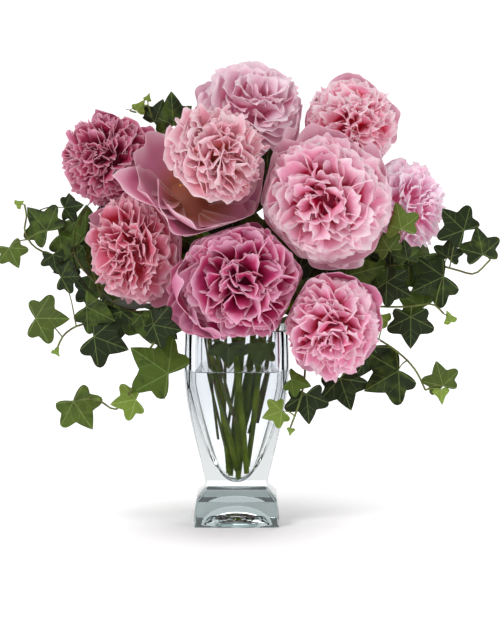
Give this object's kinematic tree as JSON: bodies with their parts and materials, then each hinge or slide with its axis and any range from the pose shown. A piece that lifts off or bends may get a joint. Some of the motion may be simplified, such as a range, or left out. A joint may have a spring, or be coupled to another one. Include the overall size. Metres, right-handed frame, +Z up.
{
  "type": "peonies in a vase",
  "caption": "Arrangement of full pink peonies and trailing ivy standing in water in a clear square glass vase with a solid block foot.",
  "frame": {"origin": "centre of the flat underside of the vase's foot", "axes": "+Z up, -Y towards the front of the arrangement, square to the vase's front face, +X to the right seen from the front"},
  "size_m": [0.5045, 0.2338, 0.4645],
  "materials": {
    "vase_glass": "clear thick polished glass, faint grey green in depth",
    "vase_water": "clear still water",
    "petal_rose": "soft matte petal, rose pink with paler edges",
    "petal_pale": "soft matte petal, pale pink with a deep pink heart",
    "petal_blush": "soft matte petal, blush and peach with mauve pink outer petals",
    "petal_deep": "soft matte petal, deep pink with paler edges",
    "stem_green": "smooth olive green stem",
    "ivy_leaf": "waxy dark green leaf with paler veins"
  },
  "bodies": {
    "root": {"vase": "vase_glass", "water": "vase_water", "bloom_left_high": "petal_rose", "stem_left_high": "stem_green", "bloom_left_low": "petal_rose", "stem_left_low": "stem_green", "bloom_open_centre": "petal_blush", "stem_open_centre": "stem_green", "bloom_top": "petal_pale", "stem_top": "stem_green", "bloom_right_high": "petal_pale", "stem_right_high": "stem_green", "bloom_right_front": "petal_pale", "stem_right_front": "stem_green", "bloom_right_far": "petal_rose", "stem_right_far": "stem_green", "bloom_low_centre": "petal_deep", "stem_low_centre": "stem_green", "bloom_low_right": "petal_rose", "stem_low_right": "stem_green", "ivy_left_high": "ivy_leaf", "ivy_left_middle": "ivy_leaf", "ivy_left_low": "ivy_leaf", "ivy_top_left": "ivy_leaf", "ivy_right_high": "ivy_leaf", "ivy_right_middle": "ivy_leaf", "ivy_right_low": "ivy_leaf", "ivy_front_right": "ivy_leaf", "ivy_back_left": "ivy_leaf", "ivy_back_middle": "ivy_leaf", "ivy_back_right": "ivy_leaf", "ivy_neck": "ivy_leaf"}
  },
  "joints": []
}
